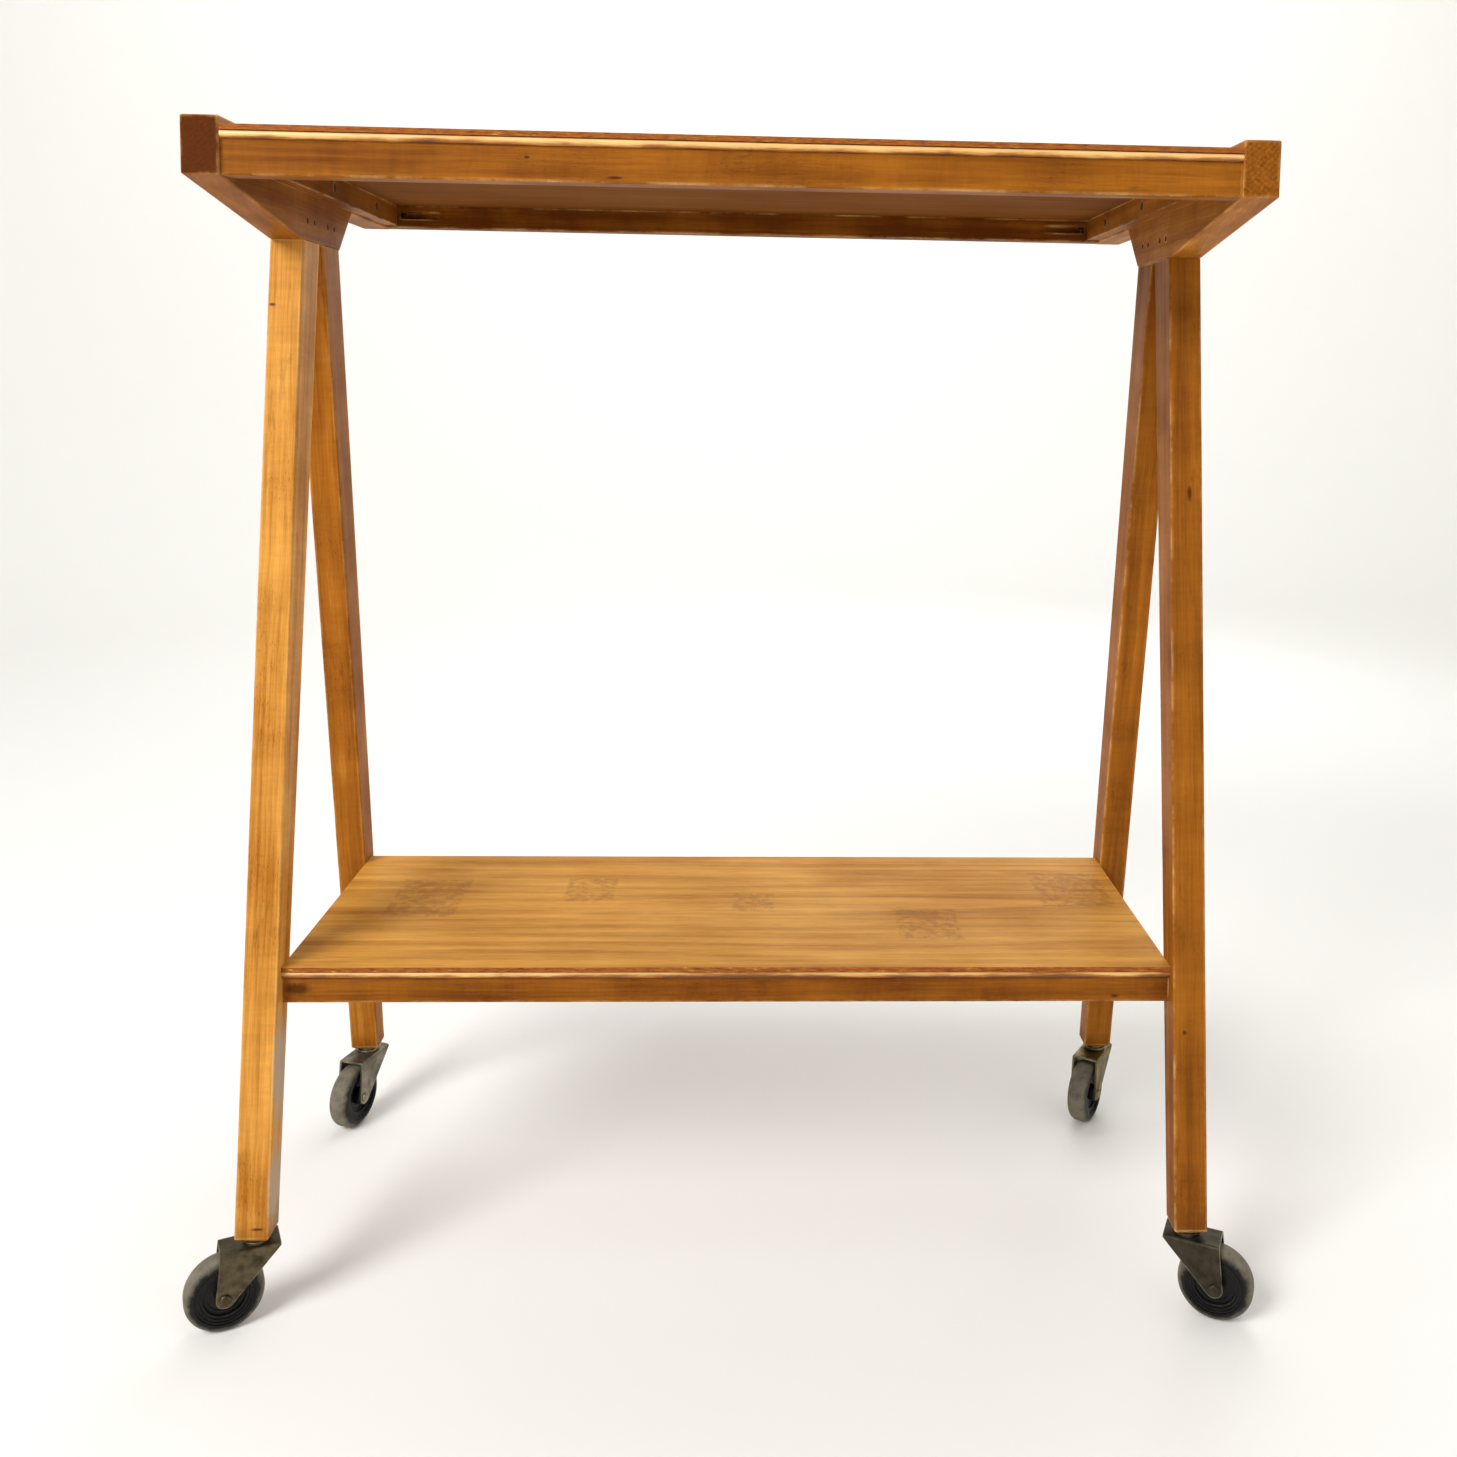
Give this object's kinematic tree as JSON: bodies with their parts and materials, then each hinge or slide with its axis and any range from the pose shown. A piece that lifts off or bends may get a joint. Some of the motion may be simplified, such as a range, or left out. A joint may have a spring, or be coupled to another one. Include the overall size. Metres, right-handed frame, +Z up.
{
  "type": "book cart",
  "caption": "Two-level wooden book cart: tray top and lower shelf between splayed end frames, on swivelling casters.",
  "frame": {"origin": "on the floor under the middle of the cart's bounding box", "axes": "+Z up, +X to the cart's right seen from its front, -Y the front"},
  "size_m": [0.8572, 0.45, 0.936],
  "materials": {
    "varnished_beech": "amber varnish, worn",
    "plywood": "thin varnished plywood",
    "pale_moulding": "half-round moulding, varnish rubbed pale",
    "dowel_wood": "end grain, darkened",
    "pressed_steel": "tarnished zinc plating",
    "plated_steel": "dull plated steel",
    "hub": "moulded, black",
    "tread": "hard rubber, dusty tread"
  },
  "bodies": {
    "cart": {"front_left_leg": "varnished_beech", "front_left_socket": "plated_steel", "front_right_leg": "varnished_beech", "front_right_socket": "plated_steel", "front_shelf_bead": "pale_moulding", "front_shelf_rail": "varnished_beech", "front_top_bead": "pale_moulding", "front_top_rail": "varnished_beech", "ledger_screws": "plated_steel", "left_end_beam": "varnished_beech", "left_head_pins": "dowel_wood", "left_ledger": "varnished_beech", "left_shelf_end_rail": "varnished_beech", "rear_left_leg": "varnished_beech", "rear_left_socket": "plated_steel", "rear_right_leg": "varnished_beech", "rear_right_socket": "plated_steel", "rear_shelf_bead": "pale_moulding", "rear_shelf_rail": "varnished_beech", "rear_top_bead": "pale_moulding", "rear_top_rail": "varnished_beech", "right_end_beam": "varnished_beech", "right_head_pins": "dowel_wood", "right_ledger": "varnished_beech", "right_shelf_end_rail": "varnished_beech", "shelf_dowels": "dowel_wood", "shelf_panel": "plywood", "top_panel": "plywood", "top_rail_dowels": "dowel_wood"},
    "front_left_swivel": {"front_left_fork": "pressed_steel", "front_left_stem": "plated_steel", "front_left_race": "plated_steel", "front_left_axle": "plated_steel"},
    "front_left_wheel": {"front_left_wheel_hub": "hub", "front_left_wheel_bush": "plated_steel", "front_left_tyre": "tread"},
    "front_right_swivel": {"front_right_fork": "pressed_steel", "front_right_stem": "plated_steel", "front_right_race": "plated_steel", "front_right_axle": "plated_steel"},
    "front_right_wheel": {"front_right_wheel_hub": "hub", "front_right_wheel_bush": "plated_steel", "front_right_tyre": "tread"},
    "rear_left_swivel": {"rear_left_fork": "pressed_steel", "rear_left_stem": "plated_steel", "rear_left_race": "plated_steel", "rear_left_axle": "plated_steel"},
    "rear_left_wheel": {"rear_left_wheel_hub": "hub", "rear_left_wheel_bush": "plated_steel", "rear_left_tyre": "tread"},
    "rear_right_swivel": {"rear_right_fork": "pressed_steel", "rear_right_stem": "plated_steel", "rear_right_race": "plated_steel", "rear_right_axle": "plated_steel"},
    "rear_right_wheel": {"rear_right_wheel_hub": "hub", "rear_right_wheel_bush": "plated_steel", "rear_right_tyre": "tread"}
  },
  "joints": [
    {"name": "front_left_swivel", "type": "hinge", "parent": "cart", "child": "front_left_swivel", "pos_m": [-0.3765, -0.157, 0.066], "axis": [0, 0, 1], "continuous": true},
    {"name": "front_left_roll", "type": "hinge", "parent": "front_left_swivel", "child": "front_left_wheel", "pos_m": [-0.39916, -0.16757, 0.03], "axis": [0.4226, -0.9063, 0], "continuous": true},
    {"name": "front_right_swivel", "type": "hinge", "parent": "cart", "child": "front_right_swivel", "pos_m": [0.3765, -0.157, 0.066], "axis": [0, 0, 1], "continuous": true},
    {"name": "front_right_roll", "type": "hinge", "parent": "front_right_swivel", "child": "front_right_wheel", "pos_m": [0.39916, -0.16757, 0.03], "axis": [0.4226, 0.9063, 0], "continuous": true},
    {"name": "rear_left_swivel", "type": "hinge", "parent": "cart", "child": "rear_left_swivel", "pos_m": [-0.3765, 0.157, 0.066], "axis": [0, 0, 1], "continuous": true},
    {"name": "rear_left_roll", "type": "hinge", "parent": "rear_left_swivel", "child": "rear_left_wheel", "pos_m": [-0.38464, 0.13336, 0.03], "axis": [0.9455, -0.3256, 0], "continuous": true},
    {"name": "rear_right_swivel", "type": "hinge", "parent": "cart", "child": "rear_right_swivel", "pos_m": [0.3765, 0.157, 0.066], "axis": [0, 0, 1], "continuous": true},
    {"name": "rear_right_roll", "type": "hinge", "parent": "rear_right_swivel", "child": "rear_right_wheel", "pos_m": [0.36288, 0.13603, 0.03], "axis": [0.8387, -0.5446, 0], "continuous": true}
  ]
}
